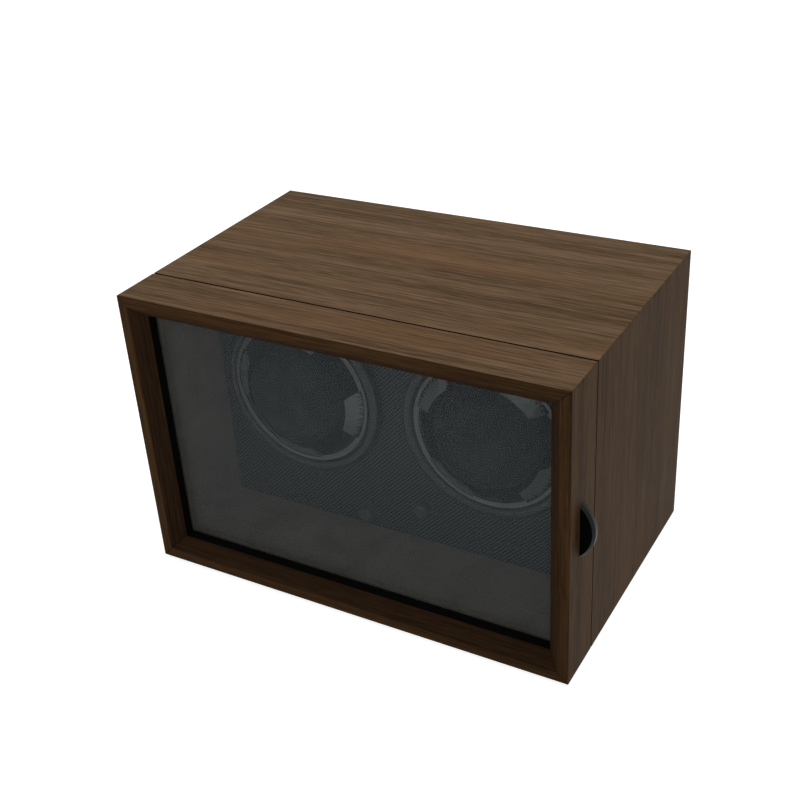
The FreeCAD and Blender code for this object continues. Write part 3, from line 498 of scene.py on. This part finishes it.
dressed = [*boards, *clip_rings, *buttons, *bay_linings, "glass_retainer", "door_pull"]
pillows = ["left_watch_pillow", "right_watch_pillow"]
for node, slot in slot_of_node.items():
    if node in dressed or node in pillows:
        continue
    if slot in edge_radius:
        softened(node, edge_radius[slot]).data.materials.append(finishes[slot])
    else:
        nodes[node].data.materials.clear()
        nodes[node].data.materials.append(finishes[slot])


# Pillows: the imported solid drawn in, then blown up as cloth
PILLOW_VOXEL = 2.2 * MM
PILLOW_SHRINK = 0.6 * MM
PILLOW_SWELL = 1.9 * MM
PILLOW_PRESSURE = 4
PILLOW_FRAMES = 20


def drawn_in(node):
    shape = whole_shape(node)
    bmesh.ops.triangulate(shape, faces=shape.faces)
    piece = new_piece(f"{node}_stuffed", shape)
    remesh = piece.modifiers.new("Skin", "REMESH")
    remesh.mode = "VOXEL"
    remesh.voxel_size = PILLOW_VOXEL
    skin = bpy.data.meshes.new_from_object(piece.evaluated_get(bpy.context.evaluated_depsgraph_get()))
    piece.modifiers.clear()
    piece.data = skin
    for vertex, normal in zip(skin.vertices, [v.normal.copy() for v in skin.vertices]):
        vertex.co -= PILLOW_SHRINK * normal
    return piece


def blow_up(piece):
    """Cloth under pressure for a few frames, each point kept close to where it began."""
    start = [vertex.co.copy() for vertex in piece.data.vertices]
    cloth = piece.modifiers.new("Cover", "CLOTH")
    cloth.settings.use_pressure = True
    cloth.settings.uniform_pressure_force = PILLOW_PRESSURE
    cloth.settings.effector_weights.gravity = 0
    cloth.point_cache.frame_start = 1
    cloth.point_cache.frame_end = PILLOW_FRAMES
    for step in range(1, PILLOW_FRAMES + 1):
        bpy.context.scene.frame_set(step)
    grown = piece.evaluated_get(bpy.context.evaluated_depsgraph_get())
    ends = [vertex.co.copy() for vertex in grown.data.vertices]
    piece.modifiers.clear()
    for vertex, first, last in zip(piece.data.vertices, start, ends):
        move = last - first
        vertex.co = first + move * min(1, PILLOW_SWELL / max(move.length, 1e-9))
    bpy.context.scene.frame_set(1)


def stuffed_pillow(node):
    piece = drawn_in(node)
    blow_up(piece)
    smooth = piece.modifiers.new("Smooth", "SUBSURF")
    smooth.levels = 1
    smooth.render_levels = 1
    piece.data.shade_smooth()
    piece.data.materials.clear()
    piece.data.materials.append(finishes["pillow_cover"])
    stand_in(piece, node)


for node in pillows:
    stuffed_pillow(node)


# Camera where the photograph was taken from, rolled a little
CAMERA_TURN = math.radians(31.03)
CAMERA_RISE = math.radians(29.96)
CAMERA_ROLL = math.radians(-3.77)
CAMERA_LENS = 55.31
CAMERA_PLACE = Vector((281.95, -482.17, 409.54)) * MM


def photograph_camera():
    level = math.cos(CAMERA_RISE)
    back = Vector((math.sin(CAMERA_TURN) * level, -math.cos(CAMERA_TURN) * level, math.sin(CAMERA_RISE)))
    right = UP.cross(back).normalized()
    above = back.cross(right)
    roll = Matrix.Rotation(CAMERA_ROLL, 3, back)
    axes = Matrix((roll @ right, roll @ above, back)).transposed()
    camera = bpy.data.objects.new("camera", bpy.data.cameras.new("camera"))
    camera.data.lens = CAMERA_LENS
    camera.data.sensor_width = 36
    camera.data.clip_start = 0.01
    camera.matrix_world = Matrix.Translation(CAMERA_PLACE) @ axes.to_4x4()
    bpy.context.scene.collection.objects.link(camera)
    bpy.context.scene.camera = camera


LAMP_AIM = Vector((0, 0, 0.08))
OVERHEAD = {"place": Vector((0.1, 0.3, 1.5)), "size": 1.3, "power": 12}
FRONT_RIGHT = {"place": Vector((0.45, -1.5, 1.1)), "size": 1.0, "power": 2.6}


def soft_lamp(name, place, size, power):
    lamp = bpy.data.lights.new(name, "AREA")
    lamp.shape = "DISK"
    lamp.size = size
    lamp.energy = power
    holder = bpy.data.objects.new(name, lamp)
    aim = (LAMP_AIM - place).to_track_quat("-Z", "Y")
    holder.matrix_world = Matrix.Translation(place) @ aim.to_matrix().to_4x4()
    bpy.context.scene.collection.objects.link(holder)


AMBIENT = 0.22
FLOOR_GLOW = 0.86
FLOOR_HALF = 6


def seen_straight(graph):
    """1 for rays from the camera, a reflection or a see-through piece, else 0."""
    kinds = ("Is Camera Ray", "Is Glossy Ray", "Is Transmission Ray")
    camera, glossy, through = (graph.node("ShaderNodeLightPath", {}, {}, kind) for kind in kinds)
    mirrored = camera.maths("MAXIMUM", camera, glossy)
    return mirrored.maths("MAXIMUM", mirrored, through)


def white_surroundings():
    world = bpy.data.worlds.new("surroundings")
    bpy.context.scene.world = world
    world.use_nodes = True
    graph = Graph(world.node_tree)
    background = graph.tree.nodes["Background"]
    graph.feed(background.inputs["Color"], (1, 1, 1, 1))
    ends = {"Value": seen_straight(graph), "To Min": AMBIENT}
    graph.feed(background.inputs["Strength"], graph.node("ShaderNodeMapRange", {}, ends))


def pale_floor():
    looks = {"Base Color": tint("cfcfce"), "Roughness": 0.9, "Specular IOR Level": 0}
    finish = Finish("pale floor", looks | {"Emission Strength": FLOOR_GLOW})
    finish.show(Emission_Color=seen_straight(finish))
    shape = bmesh.new()
    bmesh.ops.create_grid(shape, x_segments=1, y_segments=1, size=FLOOR_HALF)
    floor = new_piece("floor", shape)
    floor.data.materials.append(finish.material)


photograph_camera()
white_surroundings()
pale_floor()
soft_lamp("overhead", **OVERHEAD)
soft_lamp("front_right", **FRONT_RIGHT)
bpy.context.scene.view_settings.view_transform = "Standard"

bpy.context.view_layer.update()
